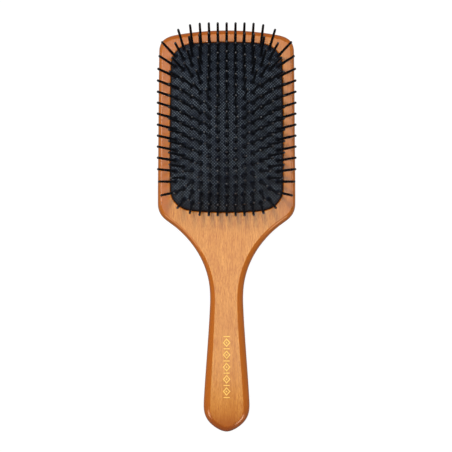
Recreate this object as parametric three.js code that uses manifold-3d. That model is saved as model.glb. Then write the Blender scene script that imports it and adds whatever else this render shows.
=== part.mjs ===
// A paddle hair brush, in millimetres: a flat wooden paddle and handle in one piece, a domed
// rubber cushion whose flange sits in an undercut groove of the paddle's pocket, and 218 nylon
// pins that stand square to the dome and so fan out towards its edges.
//
// +X runs across the paddle, +Y from the handle to the head's top edge and +Z out of the pinned
// face. The origin is on the flat back, below the middle of the cushion.

import * as THREE from "three";
import { mergeVertices } from "three/addons/utils/BufferGeometryUtils.js";
import Module from "manifold-3d";

const wasm = await Module();
wasm.setup();

// ---------------------------------------------------------------- driving dimensions

const wood = {
  thickness: 13,
  headTop: 57.9, // from the cushion's middle up to the top edge
  headHalfWidth: 41, // at the widest, just above the shoulders
  neckHalfWidth: 9.85,
  gripHalfWidth: 13.7,
  handleEnd: -181.3,
  edgeWidth: 3.4, // how far the rounded edge reaches in from the outline
  edgeDepth: 4.2, // and how far down from each face
  edgeSteps: 3,
};

const pocket = {
  top: 50, // from the cushion's middle up to the pocket's top end
  bottom: -50.7,
  halfWidth: 33.2,
  corner: 14, // how far its rounded corners reach
  roundness: 0.55, // how far along that their control points stand
  bow: 0.8, // how far its ends bow out
  depth: 7,
  grooveWidth: 1.6, // height of the undercut that takes the cushion's flange
  grooveReach: 1.8, // how far it runs under the rim
  grooveFloor: 3.4, // above the pocket's floor
};

const cushion = {
  wall: 1.2,
  flange: 1.0,
  crown: 10.2, // how far the dome rises from its edge to its middle
  edgeRise: 0.6, // the dome's edge above the wooden face
  reachX: 36, // where the dome's surface would come down to its edge height
  reachY: 51,
  squareness: 7, // exponent of the dome's rounded-rectangle contours
  fullness: 2.3, // exponent of its rise: 2 is round, more is flatter on top
  alongSteps: 10, // facets of the dome along the brush
  acrossEdges: [0.5, 2.5, 3.5, 4.5, 5.5, 7], // its edges across it, in pin pitches: between the columns
  ventRadius: 1,
  ventY: -28.2,
  ventSides: 8,
};

const pin = {
  pitch: 5, // between columns, and between the middle column's pins
  middleCount: 20, // each column outwards from the middle has one pin fewer
  columnsEachSide: 6,
  halfSpan: 46.8, // from the pins' middle to the last pin of the long columns
  cornerDraw: 7, // how much less it is for the outermost columns, at the rounded corners
  shift: 0.9, // the pins' middle above the cushion's middle
  reach: 19, // from the rubber to the tip
  baseRadius: 0.85,
  tipRadius: 0.65,
  sides: 6,
  holeSides: 4,
};

const runner = { width: 1.8, thickness: 0.9, overhang: 0.95, longest: 5 };

const clearance = 0.3; // between pieces that touch
const sliver = 0.03; // edges shorter than this are closed up after a cut
const sameCorner = 1e-4; // vertices nearer than this are one
const overshoot = 1; // how far a cutting tool runs past what it cuts
const faceZ = wood.thickness;
const pocketFloorZ = faceZ - pocket.depth;

// ---------------------------------------------------------------- materials

const materials = {
  wood: new THREE.MeshStandardMaterial({ color: 0xdb9860, roughness: 0.35, metalness: 0 }),
  rubber: new THREE.MeshStandardMaterial({ color: 0x2a2c30, roughness: 0.7, metalness: 0 }),
  nylon: new THREE.MeshStandardMaterial({ color: 0x101116, roughness: 0.35, metalness: 0 }),
};

// ---------------------------------------------------------------- solids

// A geometry as a manifold solid, once the vertices that its faces share are merged.
function solidOf(geometry) {
  const bare = geometry.clone();
  bare.deleteAttribute("normal");
  bare.deleteAttribute("uv");
  const merged = mergeVertices(bare, sameCorner);
  return new wasm.Manifold(
    new wasm.Mesh({
      numProp: 3,
      vertProperties: new Float32Array(merged.attributes.position.array),
      triVerts: new Uint32Array(merged.index.array),
    }),
  );
}

// A manifold solid back as a geometry, without the slivers that cuts leave.
function geometryOf(solid) {
  const mesh = solid.simplify(sliver).getMesh();
  const geometry = new THREE.BufferGeometry();
  geometry.setAttribute("position", new THREE.BufferAttribute(mesh.vertProperties, 3));
  geometry.setIndex(new THREE.BufferAttribute(mesh.triVerts, 1));
  geometry.computeVertexNormals();
  return geometry;
}

// A closed solid through rings of points, all wound the same way and equally many to a ring.
// The first and last rings are convex, and are closed by a fan from their first point.
function loft(rings) {
  const count = rings[0].length;
  const positions = rings.flat().flatMap((p) => [p.x, p.y, p.z]);
  const index = [];
  for (let r = 0; r + 1 < rings.length; r++) {
    for (let i = 0; i < count; i++) {
      const next = (i + 1) % count;
      const [a, b] = [r * count + i, r * count + next];
      const [c, d] = [a + count, b + count];
      index.push(a, b, d, a, d, c);
    }
  }
  const last = (rings.length - 1) * count;
  for (let i = 1; i + 1 < count; i++) {
    index.push(0, i + 1, i);
    index.push(last, last + i, last + i + 1);
  }
  const geometry = new THREE.BufferGeometry();
  geometry.setAttribute("position", new THREE.Float32BufferAttribute(positions, 3));
  geometry.setIndex(index);
  return geometry;
}

// A regular polygon round an axis, counter-clockwise when the axis points at the viewer.
function polygon(centre, axis, radius, sides) {
  const side = new THREE.Vector3(1, 0, 0).addScaledVector(axis, -axis.x).normalize();
  const up = new THREE.Vector3().crossVectors(axis, side);
  return Array.from({ length: sides }, (_, i) => {
    const angle = (2 * Math.PI * (i + 0.5)) / sides;
    return centre
      .clone()
      .addScaledVector(side, radius * Math.cos(angle))
      .addScaledVector(up, radius * Math.sin(angle));
  });
}

// ---------------------------------------------------------------- outlines

// The whole closed outline from its right half, which runs from the top down to the bottom.
function mirrored(half) {
  const left = half.slice(1, -1).reverse();
  return [...half, ...left.map((p) => new THREE.Vector2(-p.x, p.y))].reverse();
}

// A stretch of a cubic curve as points, without its first one.
function curve(from, control1, control2, to, steps) {
  const points = [from, control1, control2, to].map(([x, y]) => new THREE.Vector2(x, y));
  return new THREE.CubicBezierCurve(...points).getPoints(steps).slice(1);
}

function woodOutline() {
  const { headTop, headHalfWidth, neckHalfWidth, gripHalfWidth, handleEnd } = wood;
  const top = [0, headTop];
  const arch = [30, headTop - 2.7];
  const side = [headHalfWidth - 0.8, 45.5];
  const shoulder = [headHalfWidth, -45.5];
  const slope = [34.5, -56.4];
  const neck = [neckHalfWidth, -101];
  const grip = [gripHalfWidth, -165.5];
  const chin = [9.4, handleEnd + 4.7];
  const end = [0, handleEnd];
  return mirrored([
    new THREE.Vector2(...top),
    ...curve(top, [10, headTop], [20, headTop - 0.9], arch, 4),
    ...curve(arch, [35.5, headTop - 3.7], [headHalfWidth - 1, 52.2], side, 6),
    ...curve(side, [headHalfWidth - 0.5, 15], [headHalfWidth - 0.1, -15], shoulder, 3),
    ...curve(shoulder, [headHalfWidth, -50.5], [38.5, -53.7], slope, 4),
    ...curve(slope, [23.5, -63.9], [neckHalfWidth, -79], neck, 8),
    ...curve(neck, [neckHalfWidth, -115], [13.3, -152], grip, 6),
    ...curve(grip, [gripHalfWidth + 0.1, -171], [12, handleEnd + 7.3], chin, 4),
    ...curve(chin, [6.3, handleEnd + 1.8], [2.6, handleEnd], end, 4),
  ]);
}

function pocketOutline() {
  const { halfWidth, corner, bow, roundness } = pocket;
  const pull = roundness * corner;
  const top = [0, pocket.top];
  const topCorner = [halfWidth - corner, pocket.top - bow];
  const sideTop = [halfWidth - 0.3, pocket.top - corner];
  const sideBottom = [halfWidth + 0.1, pocket.bottom + corner];
  const bottomCorner = [halfWidth - corner, pocket.bottom + bow];
  const bottom = [0, pocket.bottom];
  return mirrored([
    new THREE.Vector2(...top),
    ...curve(top, [7, top[1]], [14, top[1] - bow / 2], topCorner, 2),
    ...curve(
      topCorner,
      [topCorner[0] + pull, topCorner[1] - 0.2],
      [sideTop[0], sideTop[1] + pull],
      sideTop,
      4,
    ),
    ...curve(sideTop, [halfWidth - 0.2, 12], [halfWidth, -12], sideBottom, 3),
    ...curve(
      sideBottom,
      [sideBottom[0], sideBottom[1] - pull],
      [bottomCorner[0] + pull, bottomCorner[1] + 0.2],
      bottomCorner,
      4,
    ),
    ...curve(bottomCorner, [14, bottom[1] + bow / 2], [7, bottom[1]], bottom, 2),
  ]);
}

// A counter-clockwise outline moved inwards by a distance, or outwards by a negative one.
function inset(outline, distance) {
  return outline.map((p, i) => {
    const before = outline.at(i - 1);
    const after = outline[(i + 1) % outline.length];
    const along = after.clone().sub(before).normalize();
    return new THREE.Vector2(p.x - along.y * distance, p.y + along.x * distance);
  });
}

// An upright prism over an outline.
function prism(outline, low, high) {
  const at = (z) => outline.map((p) => new THREE.Vector3(p.x, p.y, z));
  return loft([at(low), at(high)]);
}

// ---------------------------------------------------------------- the dome

// Height of the rubber's outer surface over a point of the face.
function domeHeight(x, y) {
  const { squareness: n } = cushion;
  const across = Math.abs(x) / cushion.reachX;
  const along = Math.abs(y) / cushion.reachY;
  const spread = (across ** n + along ** n) ** (1 / n);
  return faceZ + cushion.edgeRise + cushion.crown * (1 - spread ** cushion.fullness);
}

function domePoint(x, y) {
  return new THREE.Vector3(x, y, domeHeight(x, y));
}

// The dome's outward direction, from its slopes over a short step each way.
function domeNormal(x, y) {
  const step = 0.01;
  const slopeX = (domeHeight(x + step, y) - domeHeight(x - step, y)) / (2 * step);
  const slopeY = (domeHeight(x, y + step) - domeHeight(x, y - step)) / (2 * step);
  return new THREE.Vector3(-slopeX, -slopeY, 1).normalize();
}

// ---------------------------------------------------------------- pins

// The columns from left to right, numbered outwards from 0 in the middle.
function columnNumbers() {
  const { columnsEachSide } = pin;
  return Array.from({ length: 2 * columnsEachSide + 1 }, (_, i) => i - columnsEachSide);
}

// Each column's pins, evenly spaced over a length that shortens towards the sides.
function pinPlaces(column) {
  const fromMiddle = Math.abs(column);
  const count = pin.middleCount - fromMiddle;
  const halfSpan = pin.halfSpan - pin.cornerDraw * (fromMiddle / pin.columnsEachSide) ** 5;
  return Array.from({ length: count }, (_, i) => {
    const y = pin.shift + halfSpan * (1 - (2 * i) / (count - 1));
    return new THREE.Vector2(column * pin.pitch, y);
  });
}

// How far below the rubber's outer surface the middle of a runner lies.
const runnerDepth = cushion.wall + 2 * clearance + runner.thickness / 2;

function pinSolid({ x, y }) {
  const foot = domePoint(x, y);
  const axis = domeNormal(x, y);
  const at = (distance, radius) =>
    polygon(foot.clone().addScaledVector(axis, distance), axis, radius, pin.sides);
  return solidOf(loft([at(-runnerDepth, pin.baseRadius), at(pin.reach, pin.tipRadius)]));
}

// The tool for a hole right through the rubber, square to its surface.
function drill({ x, y }, radius, sides) {
  const foot = domePoint(x, y);
  const axis = domeNormal(x, y);
  const reach = 2 * cushion.wall;
  const at = (distance) =>
    polygon(foot.clone().addScaledVector(axis, distance), axis, radius, sides);
  return solidOf(loft([at(-reach), at(reach)]));
}

// The thin strip below the rubber that joins the heads of neighbouring pins in a column.
function runnerSolid(places) {
  const across = places[0].x;
  const normal = domeNormal(across, (places[0].y + places.at(-1).y) / 2);
  const side = new THREE.Vector3(normal.z, 0, -normal.x).normalize();
  const between = places.slice(1).map((place, i) => (place.y + places[i].y) / 2);
  const stations = [
    places.at(-1).y - runner.overhang,
    ...between.reverse(),
    places[0].y + runner.overhang,
  ];
  const rings = stations.map((y) => {
    const centre = domePoint(across, y).addScaledVector(domeNormal(across, y), -runnerDepth);
    const corner = (u, v) =>
      centre
        .clone()
        .addScaledVector(side, (u * runner.width) / 2)
        .addScaledVector(normal, (v * runner.thickness) / 2);
    return [corner(-1, -1), corner(-1, 1), corner(1, 1), corner(1, -1)];
  });
  return solidOf(loft(rings));
}

// Splits a column's pins into runs of nearly equal length, none over the longest.
function runsOf(places) {
  const runs = Math.ceil(places.length / runner.longest);
  return Array.from({ length: runs }, (_, i) =>
    places.slice(
      Math.round((i * places.length) / runs),
      Math.round(((i + 1) * places.length) / runs),
    ),
  );
}

function pinStrip(places) {
  return geometryOf(
    places.reduce((strip, place) => strip.add(pinSolid(place)), runnerSolid(places)),
  );
}

// ---------------------------------------------------------------- wooden body

function woodenBody() {
  const { thickness, edgeWidth, edgeDepth, edgeSteps } = wood;
  const blank = new THREE.ExtrudeGeometry(new THREE.Shape(woodOutline()), {
    depth: thickness - 2 * edgeDepth,
    steps: 1,
    bevelThickness: edgeDepth,
    bevelSize: edgeWidth,
    bevelOffset: -edgeWidth,
    bevelSegments: edgeSteps,
  });
  blank.translate(0, 0, edgeDepth);
  const outline = pocketOutline();
  const hollow = prism(outline, pocketFloorZ, faceZ + overshoot);
  const grooveZ = pocketFloorZ + pocket.grooveFloor;
  const groove = prism(inset(outline, -pocket.grooveReach), grooveZ, grooveZ + pocket.grooveWidth);
  return geometryOf(solidOf(blank).subtract(solidOf(hollow)).subtract(solidOf(groove)));
}

// ---------------------------------------------------------------- rubber cushion

// A block with a flat underside whose top is the dome's surface, lowered square to itself.
// Its edges across the brush fall between the columns of pins.
function domeBlock(depth) {
  const { reachY, alongSteps } = cushion;
  const right = cushion.acrossEdges.map((pitches) => pitches * pin.pitch);
  const stations = [...right.map((x) => -x).reverse(), ...right];
  const rings = stations.map((x) => {
    const surface = Array.from({ length: alongSteps + 1 }, (_, i) => {
      const y = reachY * (1 - (2 * i) / alongSteps);
      return domePoint(x, y).addScaledVector(domeNormal(x, y), -depth);
    });
    const underside = [surface.at(-1), surface[0]].map((p) => p.clone().setZ(0));
    return [...surface, ...underside];
  });
  return solidOf(loft(rings));
}

function rubberCushion() {
  const { wall, flange, ventY, ventRadius, ventSides } = cushion;
  const outline = pocketOutline();
  const skirtZ = pocketFloorZ + pocket.grooveFloor + clearance;
  const topZ = faceZ + 2 * cushion.crown;
  const block = (distance, low, high) => solidOf(prism(inset(outline, distance), low, high));
  const outside = block(clearance, skirtZ, topZ).intersect(domeBlock(0));
  const inside = block(clearance + wall, skirtZ - overshoot, topZ).intersect(domeBlock(wall));
  const flangeRing = block(clearance - pocket.grooveReach, skirtZ, skirtZ + flange);
  const vent = drill({ x: 0, y: ventY }, ventRadius, ventSides);
  const pinHoleRadius = (pin.baseRadius + clearance) / Math.cos(Math.PI / pin.holeSides);
  const pinHoles = columnNumbers()
    .flatMap(pinPlaces)
    .map((place) => drill(place, pinHoleRadius, pin.holeSides));
  const hollows = wasm.Manifold.union([inside, vent, ...pinHoles]);
  return geometryOf(outside.add(flangeRing).subtract(hollows));
}

// ---------------------------------------------------------------- assembly

const brush = new THREE.Group();

function add(name, geometry, material) {
  const mesh = new THREE.Mesh(geometry, material);
  mesh.name = name;
  brush.add(mesh);
}

add("wooden_body", woodenBody(), materials.wood);
add("rubber_cushion", rubberCushion(), materials.rubber);
columnNumbers().forEach((column, i) => {
  const label = String(i + 1).padStart(2, "0");
  runsOf(pinPlaces(column)).forEach((places, run) => {
    add(`pins_${label}_${"abcd"[run]}`, pinStrip(places), materials.nylon);
  });
});

export default brush;
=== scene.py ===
"""The looks of a wooden paddle hair brush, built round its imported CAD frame.

A lacquered beech paddle with a rounded edge, a dark rubber cushion with a fine imprinted weave,
218 glossy nylon pins in thirteen columns, and a small gold foil ornament on the handle.
Lengths in the code are millimetres, and MM turns them into Blender's metres. The brush lies on its
flat back: +X across, +Y from the handle to the head's top edge, +Z out of the pinned face.
"""

import math

import bmesh
import bpy
import numpy as np
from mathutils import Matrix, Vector, geometry


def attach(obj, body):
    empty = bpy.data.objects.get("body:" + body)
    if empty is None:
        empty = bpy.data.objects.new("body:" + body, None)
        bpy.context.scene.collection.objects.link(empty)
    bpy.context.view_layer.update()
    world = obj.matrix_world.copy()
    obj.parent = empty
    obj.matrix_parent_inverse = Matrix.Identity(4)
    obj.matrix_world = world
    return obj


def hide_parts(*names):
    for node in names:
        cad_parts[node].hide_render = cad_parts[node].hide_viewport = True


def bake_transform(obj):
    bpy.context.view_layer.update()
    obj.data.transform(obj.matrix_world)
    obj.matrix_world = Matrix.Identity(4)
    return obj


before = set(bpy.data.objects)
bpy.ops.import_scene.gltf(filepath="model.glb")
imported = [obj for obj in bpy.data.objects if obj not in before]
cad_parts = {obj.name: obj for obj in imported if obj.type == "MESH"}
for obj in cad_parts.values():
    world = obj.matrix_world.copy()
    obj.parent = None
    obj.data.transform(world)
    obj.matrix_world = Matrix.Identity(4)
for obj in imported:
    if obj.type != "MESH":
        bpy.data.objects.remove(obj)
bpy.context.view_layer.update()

MM = 0.001

# ---------------------------------------------------------------- sizes, as in the CAD

FACE_Z = 13.0  # the wood's front face
EDGE_DEPTH = 4.2  # height of the rounded edge, at the front and at the back
FLOOR_Z = 6.0  # the pocket's floor
GROOVE = {"low": 9.4, "high": 11.0, "reach": 1.8}  # the undercut that holds the cushion's flange
# The rubber's dome: the height of its border over the face, the height of its crown over that, its
# half sizes, and how square and how full it is.
DOME = {"rise": 0.6, "crown": 10.2, "x": 36.0, "y": 51.0, "square": 7.0, "full": 2.3}
PITCH = 5.0  # from one column of pins to the next
COLUMNS_EACH_SIDE = 6
MIDDLE_COUNT = 20  # pins in the middle column, and one fewer in each column further out
HALF_SPAN = 46.8  # from the middle of a column to its last pin
CORNER_DRAW = 7.0  # how much less that is in the outermost columns
PIN_SHIFT = 0.9  # the pins' middle above the cushion's middle
PIN_REACH = 19.0  # from the rubber to a pin's tip

# ---------------------------------------------------------------- sizes of the finer shapes

# The width of the wood's rounded edge by Y, and what the right side adds and the left side takes off.
EDGE_WIDTHS = {-182: 4.3, -165: 4.0, -120: 3.6, -95: 3.2, -62: 3.0, -50: 2.6, 44: 2.6, 54: 3.3}
EDGE_BIAS = {-150: 0.0, -120: 0.4, -70: 0.4, -50: 0.0}
EDGE_START = 15  # where on its quarter turn the edge sets in, in degrees: a faint ridge
EDGE_RINGS = 11
RIM_ROUND = 0.6  # the softened rim of the pocket
RIM_RINGS = 6
SUPPORT = 0.12  # a flat ring beside each rounded edge, so that the faces shade flat
WOOD_POINTS = 720
POCKET_POINTS = 240

RUBBER_POINTS = 200
RUBBER_GAP = 0.45  # between the rubber's edge and the pocket's wall
RUBBER_ROUND = 0.8  # the rolled edge
RUBBER_WALL = 1.2
INNER_MARGIN = 0.6  # how much further the inside of the shell keeps from the pocket's wall
FLANGE = {"play": 0.3, "thickness": 1.0}  # the cushion's flange, loose in the groove
COLLAR_SIDES = 16
# Lips round the pins: heights over the dome and radii.
PIN_LIP = [(-0.4, 1.75), (0.06, 1.55), (0.3, 1.3), (0.36, 1.15), (0.28, 1.0), (-0.4, 0.95)]
VENT = {"place": (0.0, -28.2), "radius": 0.75}  # the air hole
# The raised ring of the vent: heights over the dome and widths round the hole.
VENT_RING = [(-0.4, 0.4), (0.05, 0.3), (0.2, 0.1), (0.2, 0.0), (0.03, 0.0)]
WEAVE_PITCH = 1.75  # between knots, across and along
WEAVE_INSET = 2.0  # how far in from the pocket's wall the weave is at its full depth

PIN_SIDES = 14
TIP_RADIUS = 0.68
# A pin's foot and shaft: distances from the rubber along it and radii.
PIN_FOOT = [(-1.6, 0.7), (0.0, 1.08), (0.42, 1.08), (0.66, 1.02), (0.85, 0.88)]
PIN_SHAFT = [(4.0, 0.84), (10.0, 0.76), (16.0, 0.69)]


# ---------------------------------------------------------------- mesh helpers


def build_mesh(name, points, faces, material, crease_deg=40):
    """A new object from points in millimetres, shaded smooth but for its sharp edges."""
    mesh = bpy.data.meshes.new(name)
    mesh.from_pydata([tuple(float(c) * MM for c in p) for p in points], [], faces)
    mesh.validate()
    tidy = bmesh.new()
    tidy.from_mesh(mesh)
    bmesh.ops.recalc_face_normals(tidy, faces=tidy.faces)
    tidy.to_mesh(mesh)
    tidy.free()
    mesh.polygons.foreach_set("use_smooth", [True] * len(mesh.polygons))
    mesh.set_sharp_from_angle(angle=math.radians(crease_deg))
    mesh.materials.append(material)
    made = bpy.data.objects.new(name, mesh)
    bpy.context.scene.collection.objects.link(made)
    return made


def add_attribute(made, name, values):
    """Gives every point of an object a number that its material can read."""
    attribute = made.data.attributes.new(name, "FLOAT", "POINT")
    attribute.data.foreach_set("value", np.array(values, np.float32))


def ring_faces(first, second, count):
    """Quads between two rings of equally many points, given each ring's first index."""
    return [
        (first + i, first + (i + 1) % count, second + (i + 1) % count, second + i)
        for i in range(count)
    ]


def filled(outer, hole=None):
    """Triangles that fill an outline, less a hole, as indices into the two outlines in turn."""
    flat = [Vector(p[:2]) for p in outer]
    loops = [list(range(len(outer)))]
    if hole is not None:
        flat += [Vector(p[:2]) for p in hole]
        loops.append(list(range(len(flat) - 1, len(outer) - 1, -1)))
    inside_less_holes = 2
    made = geometry.delaunay_2d_cdt(flat, [], loops, inside_less_holes, 1e-6)
    sources = made[3]
    return [tuple(sources[corner][0] for corner in face) for face in made[2]]


def contour(node, height):
    """The outline of a CAD node at a height, counter-clockwise round the origin, in millimetres."""
    corners = np.array([v.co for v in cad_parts[node].data.vertices]) / MM
    level = corners[np.abs(corners[:, 2] - height) < 0.01, :2]
    outline = np.unique(level.round(3), axis=0)
    return outline[np.argsort(np.arctan2(outline[:, 1], outline[:, 0]))]


def smooth_outline(points, count, finer=24):
    """Points evenly spaced along a smooth closed curve that keeps long straight stretches straight."""
    after = np.roll(points, -1, axis=0)
    chords = np.linalg.norm(after - points, axis=1)[:, None]
    tangents = after - np.roll(points, 1, axis=0)
    tangents /= np.linalg.norm(tangents, axis=1)[:, None]
    t = np.linspace(0, 1, finer, endpoint=False)[None, :, None]
    here, there = points[:, None], after[:, None]
    leave = (tangents * chords)[:, None]
    arrive = (np.roll(tangents, -1, axis=0) * chords)[:, None]
    curve = (
        (2 * t**3 - 3 * t**2 + 1) * here
        + (t**3 - 2 * t**2 + t) * leave
        + (3 * t**2 - 2 * t**3) * there
        + (t**3 - t**2) * arrive
    ).reshape(-1, 2)
    closed = np.vstack([curve, curve[:1]])
    run = np.concatenate([[0], np.cumsum(np.linalg.norm(np.diff(closed, axis=0), axis=1))])
    even = np.linspace(0, run[-1], count, endpoint=False)
    return np.column_stack([np.interp(even, run, closed[:, k]) for k in range(2)])


def inward(outline):
    """The unit vectors square to a counter-clockwise outline, pointing inwards."""
    along = np.roll(outline, -1, axis=0) - np.roll(outline, 1, axis=0)
    along /= np.linalg.norm(along, axis=1)[:, None]
    return np.column_stack([-along[:, 1], along[:, 0]])


def smoothstep(value, start, end):
    """0 before the start, 1 past the end, and a smooth rise between them."""
    t = np.clip((value - start) / (end - start), 0, 1)
    return t * t * (3 - 2 * t)


# ---------------------------------------------------------------- the dome and its pins


def dome_height(x, y):
    """Height of the rubber's outer surface over points of the face."""
    n = DOME["square"]
    spread = ((np.abs(x) / DOME["x"]) ** n + (np.abs(y) / DOME["y"]) ** n) ** (1 / n)
    return FACE_Z + DOME["rise"] + DOME["crown"] * (1 - spread ** DOME["full"])


def dome_normal(x, y, step=0.01):
    """The direction straight out of the rubber over a point of the face."""
    slope_x = (dome_height(x + step, y) - dome_height(x - step, y)) / (2 * step)
    slope_y = (dome_height(x, y + step) - dome_height(x, y - step)) / (2 * step)
    return Vector((-slope_x, -slope_y, 1)).normalized()


def pin_feet(column):
    """Where a column's pins leave the rubber; columns count outwards from 0 in the middle."""
    out = abs(column)
    count = MIDDLE_COUNT - out
    half_span = HALF_SPAN - CORNER_DRAW * (out / COLUMNS_EACH_SIDE) ** 5
    rows = PIN_SHIFT + half_span * np.linspace(1, -1, count)
    return [Vector((column * PITCH, y, dome_height(column * PITCH, y))) for y in rows]


def turned(profile, foot, axis, sides):
    """Rings of points round an axis; the profile lists (distance along it, radius)."""
    side = axis.orthogonal().normalized()
    up = axis.cross(side)
    angles = [2 * math.pi * i / sides for i in range(sides)]
    return [
        foot + axis * distance + (side * math.cos(a) + up * math.sin(a)) * radius
        for distance, radius in profile
        for a in angles
    ]


def turned_faces(start, rings, sides):
    """Faces of a turned shape: its bands, and a cap on each end."""
    faces = []
    for r in range(rings - 1):
        faces += ring_faces(start + r * sides, start + (r + 1) * sides, sides)
    last = start + (rings - 1) * sides
    faces.append(tuple(start + i for i in reversed(range(sides))))
    faces.append(tuple(last + i for i in range(sides)))
    return faces


# ---------------------------------------------------------------- material helpers


def new_material(name):
    material = bpy.data.materials.new(name)
    material.use_nodes = True
    return material, material.node_tree, material.node_tree.nodes["Principled BSDF"]


def add_node(tree, kind, inputs=None, **settings):
    """A shader node; its inputs are given as values or as other nodes' output sockets."""
    made = tree.nodes.new(kind)
    for key, value in settings.items():
        setattr(made, key, value)
    for key, value in (inputs or {}).items():
        if isinstance(value, bpy.types.NodeSocket):
            tree.links.new(value, made.inputs[key])
        else:
            made.inputs[key].default_value = value
    return made


def math_node(tree, operation, first, second=0.0, clamp=False):
    inputs = {0: first, 1: second}
    made = add_node(tree, "ShaderNodeMath", inputs, operation=operation, use_clamp=clamp)
    return made.outputs[0]


def mix_colour(tree, factor, first, second):
    inputs = {0: factor, 6: first, 7: second}
    return add_node(tree, "ShaderNodeMix", inputs, data_type="RGBA").outputs[2]


def map_range(tree, value, low, high, to_low=0.0, to_high=1.0):
    inputs = {0: value, 1: low, 2: high, 3: to_low, 4: to_high}
    return add_node(
        tree, "ShaderNodeMapRange", inputs, interpolation_type="SMOOTHSTEP"
    ).outputs[0]


def object_place(tree, per_mm=(1, 1, 1)):
    """The object's own coordinates in millimetres, stretched by a factor along each axis."""
    place = add_node(tree, "ShaderNodeTexCoord").outputs["Object"]
    scale = tuple(s / MM for s in per_mm)
    inputs = {"Vector": place, "Scale": scale}
    return add_node(tree, "ShaderNodeMapping", inputs).outputs[0]


def noise(tree, per_mm, detail, roughness=0.5, distortion=0.0):
    """Cloudy values from 0 to 1; per_mm is how many turns they take in a millimetre each way."""
    inputs = {
        "Vector": object_place(tree, per_mm),
        "Scale": 1.0,
        "Detail": detail,
        "Roughness": roughness,
        "Distortion": distortion,
    }
    return add_node(tree, "ShaderNodeTexNoise", inputs).outputs[0]


# ---------------------------------------------------------------- materials


def grain_colour(tree, flecks, pores, across, along):
    """Bare beech: streaks, flecks and pores; painted shade makes it ruddier along the head's sides and
    top.
    """
    pale = (0.672, 0.295, 0.054, 1)
    tan = (0.520, 0.194, 0.025, 1)
    ruddy_shade = (0.420, 0.106, 0.008, 1)
    fleck = (0.400, 0.115, 0.010, 1)

    streaks = noise(tree, (0.42, 0.030, 0.42), detail=4, roughness=0.6, distortion=0.4)
    clouds = noise(tree, (0.06, 0.020, 0.06), detail=2)
    streak_part = math_node(tree, "MULTIPLY", map_range(tree, streaks, 0.32, 0.68), 0.6)
    cloud_part = math_node(tree, "MULTIPLY", clouds, 0.4)
    colour = mix_colour(tree, math_node(tree, "ADD", streak_part, cloud_part), pale, tan)

    # Painted shade: the face beside the cushion, where the pins and the cushion shade it, goes ruddy
    # and dark at the head's sides and towards its top.
    right = map_range(tree, across, 24.0, 42.0, 0.0, 0.8)
    left = map_range(tree, across, -31.0, -36.0, 0.0, 1.0)
    slanted = math_node(tree, "ADD", along, math_node(tree, "MULTIPLY", across, -0.35))
    top = map_range(tree, slanted, 20.0, 64.0, 0.0, 0.95)
    outer = math_node(tree, "ADD", math_node(tree, "ADD", right, left), top, clamp=True)
    colour = mix_colour(tree, outer, colour, ruddy_shade)
    colour = mix_colour(tree, map_range(tree, flecks, 0.42, 0.72, 0.0, 0.9), colour, fleck)
    return mix_colour(tree, map_range(tree, pores, 0.46, 0.72, 0.0, 0.75), colour, fleck)


def lacquered(tree, bare, along):
    """The bare wood's colour, turned deep orange by painted shade where it is rounded and at the
    handle's end.
    """
    honey = (0.390, 0.104, 0.006, 1)
    amber = (0.380, 0.092, 0.002, 1)
    deepest = (0.270, 0.050, 0.001, 1)

    coordinates = add_node(tree, "ShaderNodeTexCoord")
    normal = add_node(tree, "ShaderNodeSeparateXYZ", {0: coordinates.outputs["Normal"]})
    facing = math_node(tree, "ABSOLUTE", normal.outputs[2])
    # Painted shade: the rounded edges, which turn away from the light, take the deeper colours that
    # are called lacquer here.
    rounded = math_node(tree, "MULTIPLY", map_range(tree, facing, 0.995, 0.965), 0.97)
    # Painted shade: the handle's end, which gets less light, is darker still.
    tail_shade = map_range(tree, along, -158.0, -184.0)
    head = map_range(tree, along, -75.0, -40.0)
    # Along the head's top edge the rounded band is simply darker.
    top = map_range(tree, along, 46.0, 56.0, 0.0, 0.7)

    lacquer = mix_colour(tree, head, amber, honey)
    lacquer = mix_colour(tree, math_node(tree, "MAXIMUM", tail_shade, top), lacquer, deepest)
    return mix_colour(tree, math_node(tree, "MAXIMUM", rounded, tail_shade), bare, lacquer)


def wood_material():
    """Lacquered beech with fine streaks and flecks along the handle."""
    material, tree, shader = new_material("lacquered_beech")
    place = add_node(tree, "ShaderNodeSeparateXYZ", {0: object_place(tree)})
    across, along = place.outputs[0], place.outputs[1]
    flecks = noise(tree, (2.1, 0.16, 2.1), detail=3, roughness=0.65)
    pores = noise(tree, (3.6, 0.50, 3.6), detail=2)
    bare = grain_colour(tree, flecks, pores, across, along)
    tree.links.new(lacquered(tree, bare, along), shader.inputs["Base Color"])

    grain = math_node(tree, "ADD", math_node(tree, "MULTIPLY", flecks, 0.7), pores)
    relief = {"Height": grain, "Strength": 0.12, "Distance": 0.15 * MM}
    bump = add_node(tree, "ShaderNodeBump", relief)
    tree.links.new(bump.outputs[0], shader.inputs["Normal"])
    tree.links.new(map_range(tree, flecks, 0.3, 0.8, 0.38, 0.5), shader.inputs["Roughness"])
    shader.inputs["Specular IOR Level"].default_value = 0.1
    shader.inputs["Coat Weight"].default_value = 1.0
    shader.inputs["Coat Roughness"].default_value = 0.16
    shader.inputs["Coat IOR"].default_value = 1.5
    return material


def weave_wave(tree, distance):
    """A cosine that repeats at the pitch of the weave."""
    turns = math_node(tree, "MULTIPLY", distance, 2 * math.pi / WEAVE_PITCH)
    return math_node(tree, "COSINE", turns)


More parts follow.
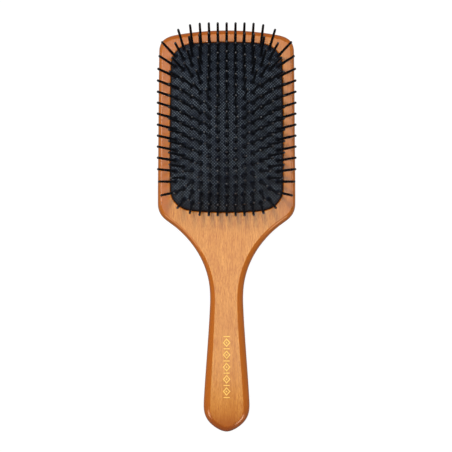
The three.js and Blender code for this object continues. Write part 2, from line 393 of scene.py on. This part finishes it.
def rubber_material():
    """Dark grey rubber imprinted with a fine diagonal weave, plain along its border; its knots carry a
    painted sheen.
    """
    material, tree, shader = new_material("woven_rubber")
    dark = (0.0042, 0.0066, 0.0135, 1)
    # The knots' relief is real; their lighter colour is a painted sheen.
    light = (0.120, 0.150, 0.172, 1)

    place = add_node(tree, "ShaderNodeSeparateXYZ", {0: object_place(tree)})
    across, along = place.outputs[0], place.outputs[1]
    knots = math_node(tree, "MULTIPLY", weave_wave(tree, across), weave_wave(tree, along))
    woven = add_node(tree, "ShaderNodeAttribute", attribute_name="woven").outputs["Fac"]
    relief = math_node(tree, "MULTIPLY", map_range(tree, knots, 0.0, 1.0), woven)
    # The painted sheen is stronger and weaker in random patches.
    patches = noise(tree, (0.14, 0.14, 0.14), detail=4, roughness=0.65)
    sheen_share = map_range(tree, patches, 0.3, 0.65, 0.25, 1.0)
    # Painted light and shade: the sheen on the knots is stronger lower down and weaker towards the
    # top.
    sheen_lower_down = map_range(tree, along, 46.0, 16.0, 0.6, 1.15)
    knot_sheen = math_node(tree, "MULTIPLY", math_node(tree, "MULTIPLY", relief, sheen_share), sheen_lower_down)
    tree.links.new(mix_colour(tree, knot_sheen, dark, light), shader.inputs["Base Color"])

    imprint = {"Height": relief, "Strength": 0.8, "Distance": 0.12 * MM}
    bump = add_node(tree, "ShaderNodeBump", imprint)
    tree.links.new(bump.outputs[0], shader.inputs["Normal"])
    tree.links.new(map_range(tree, relief, 0.0, 1.0, 0.7, 0.5), shader.inputs["Roughness"])
    shader.inputs["Specular IOR Level"].default_value = 0.25
    return material


def pin_material():
    """Glossy blue-black nylon with faint flow marks from moulding, and a painted highlight on the
    upright pins' tips.
    """
    material, tree, shader = new_material("black_nylon")
    dark = (0.0030, 0.0033, 0.0048, 1)
    light = (0.0090, 0.0096, 0.0125, 1)
    # A painted highlight: the tips of the upright pins, seen end on, glint grey.
    glint_grey = (0.17, 0.18, 0.19, 1)

    flow = noise(tree, (1.2, 1.2, 0.25), detail=2)
    sheen_share = add_node(tree, "ShaderNodeAttribute", attribute_name="sheen_share").outputs["Fac"]
    patches = map_range(tree, noise(tree, (0.3, 0.3, 0.3), detail=2), 0.4, 0.6, 0.1, 1.0)
    glints = math_node(tree, "MULTIPLY", sheen_share, patches)
    colour = mix_colour(tree, glints, mix_colour(tree, flow, dark, light), glint_grey)
    tree.links.new(colour, shader.inputs["Base Color"])
    tree.links.new(map_range(tree, flow, 0.3, 0.7, 0.20, 0.32), shader.inputs["Roughness"])
    return material


def foil_material():
    """Gold foil pressed into the lacquer, slightly mottled."""
    material, tree, shader = new_material("gold_foil")
    bright = (1.00, 0.68, 0.18, 1)
    deep = (0.90, 0.54, 0.11, 1)
    mottle = noise(tree, (1.5, 1.5, 1.5), detail=3)
    colour = mix_colour(tree, mottle, bright, deep)
    tree.links.new(colour, shader.inputs["Base Color"])
    tree.links.new(map_range(tree, mottle, 0.3, 0.7, 0.30, 0.5), shader.inputs["Roughness"])
    shader.inputs["Metallic"].default_value = 0.6
    return material


# ---------------------------------------------------------------- the wooden body


def edge_width(outline):
    """How far the rounded edge reaches in from each point of the outline."""
    x, y = outline[:, 0], outline[:, 1]
    width = np.interp(y, list(EDGE_WIDTHS), list(EDGE_WIDTHS.values()))
    bias = np.interp(y, list(EDGE_BIAS), list(EDGE_BIAS.values()))
    return (width + bias * np.sign(x))[:, None]


def level_ring(flat, height):
    """Points of the plane, lifted to one height."""
    return np.column_stack([flat, np.full(len(flat), height)])


def outer_rings():
    """The wood's outside, from the back face round the edge to the front face."""
    outline = smooth_outline(contour("wooden_body", EDGE_DEPTH), WOOD_POINTS)
    normal = inward(outline)
    width = edge_width(outline)
    first = math.radians(EDGE_START)
    turns = np.linspace(first, math.pi / 2, EDGE_RINGS)
    shares = (1 - np.sin(turns)) / (1 - math.sin(first))
    drops = EDGE_DEPTH * (1 - np.cos(turns) / math.cos(first))

    steps = [(width + SUPPORT, 0)]
    steps += [(width * share, drop) for share, drop in zip(shares, drops)]
    steps += [(width * share, FACE_Z - drop) for share, drop in zip(shares[::-1], drops[::-1])]
    steps.append((width + SUPPORT, FACE_Z))
    return [level_ring(outline + normal * inset, z) for inset, z in steps]


def pocket_rings():
    """The pocket, from its rim down past the groove to its floor."""
    outline = smooth_outline(contour("wooden_body", FLOOR_Z), POCKET_POINTS)
    normal = inward(outline)
    reach, low, high = GROOVE["reach"], GROOVE["low"], GROOVE["high"]

    steps = [(RIM_ROUND + SUPPORT, FACE_Z)]
    for a in np.linspace(0, math.pi / 2, RIM_RINGS):
        steps.append((RIM_ROUND * (1 - math.sin(a)), FACE_Z - RIM_ROUND * (1 - math.cos(a))))
    steps += [(0, high), (reach, high), (reach, low), (0, low), (0, FLOOR_Z)]
    return [level_ring(outline - normal * outwards, z) for outwards, z in steps]


def wood_body(material):
    """The paddle and handle: rounded all round, with the cushion's pocket sunk in its face."""
    outside, inside = outer_rings(), pocket_rings()
    rings = outside + inside
    starts = [int(n) for n in np.cumsum([0] + [len(ring) for ring in rings])]
    rim = len(outside)  # the pocket's first ring, which the front face surrounds
    faces = []
    for r in range(len(rings) - 1):
        if r + 1 != rim:
            faces += ring_faces(starts[r], starts[r + 1], len(rings[r]))

    back = filled(rings[0])
    front = filled(rings[rim - 1], rings[rim])
    floor = filled(rings[-1])
    for triangles, start in ((back, 0), (front, starts[rim - 1]), (floor, starts[-2])):
        faces += [tuple(start + corner for corner in t) for t in triangles]
    made = build_mesh("wood_body", np.vstack(rings), faces, material)
    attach(made, "handle")
    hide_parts("wooden_body")


# ---------------------------------------------------------------- the rubber cushion


def cushion_shell():
    """Rings from the dome's crown out to its flange and back under it, and how deep each is woven."""
    outline = smooth_outline(contour("wooden_body", FLOOR_Z), RUBBER_POINTS)
    normal = inward(outline)
    half_width = 30.0  # the dome's, roughly: turns a share of the outline into a distance
    rings, woven = [], []

    def surface_ring(inset, share=1.0, drop=0.0):
        flat = (outline + normal * inset) * share
        heights = dome_height(flat[:, 0], flat[:, 1]) - drop
        rings.append(np.column_stack([flat, heights]))
        from_wall = inset + (1 - share) * half_width
        woven.append(smoothstep(from_wall, RUBBER_ROUND, WEAVE_INSET))

    def flange_ring(inset, height):
        rings.append(level_ring(outline + normal * inset, height))
        woven.append(0.0)

    shares = np.linspace(0.02, 1, 40)  # of the outline, for rings all over the dome
    edge = RUBBER_GAP + RUBBER_ROUND
    for share in shares:
        surface_ring(edge, share)
    for a in np.linspace(0, math.pi / 2, 8)[1:]:
        surface_ring(edge - RUBBER_ROUND * math.sin(a), drop=RUBBER_ROUND * (1 - math.cos(a)))
    flange_floor = GROOVE["low"] + FLANGE["play"]
    flange_top = flange_floor + FLANGE["thickness"]
    flange_reach = GROOVE["reach"] - FLANGE["play"]
    flange_ring(RUBBER_GAP, flange_top)
    flange_ring(-flange_reach, flange_top)
    flange_ring(-flange_reach, flange_floor)
    flange_ring(RUBBER_GAP + RUBBER_WALL, flange_floor)
    for share in reversed(shares):
        surface_ring(edge + INNER_MARGIN, share, drop=RUBBER_WALL)
    return rings, woven


def rubber_pad(material):
    """The domed cushion, a shell with a rolled edge, a flange in the groove and a lip at each pin."""
    rings, woven = cushion_shell()
    count = RUBBER_POINTS
    vertices = [tuple(p) for p in np.vstack(rings)]
    weave = list(np.repeat(woven, count))
    faces = []
    for r in range(len(rings) - 1):
        faces += ring_faces(r * count, (r + 1) * count, count)
    last = (len(rings) - 1) * count
    faces.append(tuple(range(count)))
    faces.append(tuple(last + i for i in range(count)))

    def add_collar(profile, x, y):
        """A plain ring on the dome; the profile lists (height over the dome, radius)."""
        start = len(vertices)
        foot = Vector((x, y, dome_height(x, y)))
        vertices.extend(turned(profile, foot, dome_normal(x, y), COLLAR_SIDES))
        weave.extend([0.0] * (len(profile) * COLLAR_SIDES))
        faces.extend(turned_faces(start, len(profile), COLLAR_SIDES))

    for column in range(-COLUMNS_EACH_SIDE, COLUMNS_EACH_SIDE + 1):
        for foot in pin_feet(column):
            add_collar(PIN_LIP, foot.x, foot.y)
    vent_ring = [(height, VENT["radius"] + width) for height, width in VENT_RING]
    add_collar(vent_ring, *VENT["place"])

    made = build_mesh("rubber_pad", vertices, faces, material)
    add_attribute(made, "woven", weave)
    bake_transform(made)
    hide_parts("rubber_cushion")


# ---------------------------------------------------------------- the pins


def pin_profile():
    """A pin from the foot in the rubber up a tapering shaft to its rounded tip."""
    tip_turns = np.linspace(0, math.radians(80), 5)
    tip_start = PIN_REACH - TIP_RADIUS
    tip = [(tip_start + TIP_RADIUS * math.sin(a), TIP_RADIUS * math.cos(a)) for a in tip_turns]
    return PIN_FOOT + PIN_SHAFT + tip


def pin_column(column, material):
    """One column of pins; the tips of the upright ones, which stand highest, carry a painted
    highlight.
    """
    label = f"{column + COLUMNS_EACH_SIDE + 1:02d}"
    profile = pin_profile()
    plain_points = (len(profile) - 1) * PIN_SIDES
    vertices, faces, sheen_share = [], [], []
    for foot in pin_feet(column):
        start = len(vertices)
        axis = dome_normal(foot.x, foot.y)
        vertices += turned(profile, foot, axis, PIN_SIDES)
        faces += turned_faces(start, len(profile), PIN_SIDES)
        # Painted highlight: only the tips of nearly upright pins glint.
        tip_sheen = float(smoothstep(axis.z, 0.90, 0.97))
        sheen_share += [0.0] * plain_points + [tip_sheen] * PIN_SIDES
    made = build_mesh(f"pins_column_{label}", vertices, faces, material, crease_deg=50)
    add_attribute(made, "sheen_share", sheen_share)
    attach(made, f"column_{label}")
    strips = [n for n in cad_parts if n.startswith(f"pins_{label}_")]
    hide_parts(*strips)


# ---------------------------------------------------------------- the foil ornament


def lozenge(middle, half_x, half_y):
    return [(half_x, middle), (0, middle + half_y), (-half_x, middle), (0, middle - half_y)]


def rule(middle, half_x, half_y):
    corners = [(1, -1), (1, 1), (-1, 1), (-1, -1)]
    return [(half_x * u, middle + half_y * v) for u, v in corners]


def foil_mark(material):
    """A row of open lozenges, each round a small solid one, between short rules along the handle."""
    top, bottom = -124.0, -160.0
    repeats = 5
    step = (top - bottom) / repeats
    half_x, half_y = 2.25, 0.36 * step
    stroke = 0.55
    hole_x, hole_y = half_x - 1.35 * stroke, half_y - 1.5 * stroke
    dot_x, dot_y = 0.5, 0.6
    low, high = FACE_Z - 0.02, FACE_Z + 0.03
    vertices, faces = [], []

    def add_plate(outer):
        """A flat plate, let into the lacquer."""
        start, count = len(vertices), len(outer)
        for z in (low, high):
            vertices.extend((x, y, z) for x, y in outer)
        faces.extend(ring_faces(start, start + count, count))
        faces.append(tuple(start + count + i for i in range(count)))
        faces.append(tuple(start + i for i in reversed(range(count))))

    def add_frame(outer, inner):
        """A flat plate with a hole, let into the lacquer."""
        start, count = len(vertices), len(outer)
        for ring, z in ((outer, low), (outer, high), (inner, high), (inner, low)):
            vertices.extend((x, y, z) for x, y in ring)
        for r in range(4):
            faces.extend(ring_faces(start + r * count, start + (r + 1) % 4 * count, count))

    for i in range(repeats):
        middle = top - step * (i + 0.5)
        add_frame(lozenge(middle, half_x, half_y), lozenge(middle, hole_x, hole_y))
        add_plate(lozenge(middle, dot_x, dot_y))
    for i in range(repeats + 1):
        add_plate(rule(top - step * i, 0.8 * half_x, stroke / 2))
    made = build_mesh("foil_mark", vertices, faces, material, crease_deg=20)
    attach(made, "handle")


# ---------------------------------------------------------------- studio


def studio():
    """A floor just below the brush that glows white, so that it shows no shadow, and walls like it
    that only close the view."""
    material, _, shader = new_material("studio_white")
    shader.inputs["Base Color"].default_value = (0.04, 0.04, 0.04, 1)
    shader.inputs["Roughness"].default_value = 0.9
    shader.inputs["Specular IOR Level"].default_value = 0.0
    shader.inputs["Emission Color"].default_value = (1, 1, 1, 1)
    shader.inputs["Emission Strength"].default_value = 0.98
    half, low, high = 4000.0, -0.2, 4000.0
    around = [(-half, -half), (half, -half), (half, half), (-half, half)]
    corners = [(x, y, z) for z in (low, high) for x, y in around]
    floor = build_mesh("studio_floor", corners[:4], [(0, 1, 2, 3)], material)
    walls = build_mesh("studio_walls", corners, ring_faces(0, 4, 4), material)
    floor.visible_glossy = False
    for seen in ("visible_glossy", "visible_diffuse", "visible_shadow"):
        setattr(walls, seen, False)


def area_light(name, place, target, size, power, colour=(1, 1, 1)):
    """A rectangular softbox at a place, facing a target, in millimetres and watts."""
    light = bpy.data.lights.new(name, "AREA")
    light.shape = "RECTANGLE"
    light.size = size[0] * MM
    light.size_y = size[1] * MM
    light.energy = power
    light.color = colour
    made = bpy.data.objects.new(name, light)
    made.location = Vector(place) * MM
    aim = Vector(target) - Vector(place)
    made.rotation_euler = aim.to_track_quat("-Z", "Y").to_euler()
    bpy.context.scene.collection.objects.link(made)
    return made


def lighting():
    """A soft light overhead, a key above the head, a softbox on each side of it, and two warm ones
    low beyond the handle that are only seen as highlights on its rounded end."""
    head = (0, 0, FACE_Z)
    grip = (0, -168, FACE_Z)
    warm = (1.0, 0.72, 0.48)
    area_light("overhead", (100, 0, 1100), (100, 0, 0), (520, 860), 2.9)
    key = area_light("key", (-120, 300, 1040), (0, -20, 0), (200, 200), 8.5)
    key.visible_glossy = False
    area_light("left_side", (-820, 165, 700), head, (450, 500), 3.8)
    area_light("right_side", (900, 100, 560), head, (450, 400), 1.8)
    low_left = area_light("low_left", (-680, -670, 580), grip, (280, 340), 2.2, warm)
    low_right = area_light("low_right", (540, -845, 545), grip, (400, 320), 3.2, warm)
    for gloss_only in (low_left, low_right):
        gloss_only.visible_diffuse = False
    world = bpy.data.worlds.new("studio")
    world.use_nodes = True
    background = world.node_tree.nodes["Background"]
    background.inputs["Color"].default_value = (1, 1, 1, 1)
    background.inputs["Strength"].default_value = 0.2
    bpy.context.scene.world = world


def camera():
    """Straight above the brush, with its head at the top of the picture."""
    data = bpy.data.cameras.new("camera")
    data.lens = 50
    data.sensor_width = 36
    data.clip_end = 20
    made = bpy.data.objects.new("camera", data)
    made.location = Vector((-0.36, -58.7, 383.7)) * MM
    bpy.context.scene.collection.objects.link(made)
    bpy.context.scene.camera = made
    bpy.context.scene.view_settings.view_transform = "Standard"


# ---------------------------------------------------------------- the scene

camera()
wood_body(wood_material())
rubber_pad(rubber_material())
nylon = pin_material()
for column in range(-COLUMNS_EACH_SIDE, COLUMNS_EACH_SIDE + 1):
    pin_column(column, nylon)
foil_mark(foil_material())
studio()
lighting()
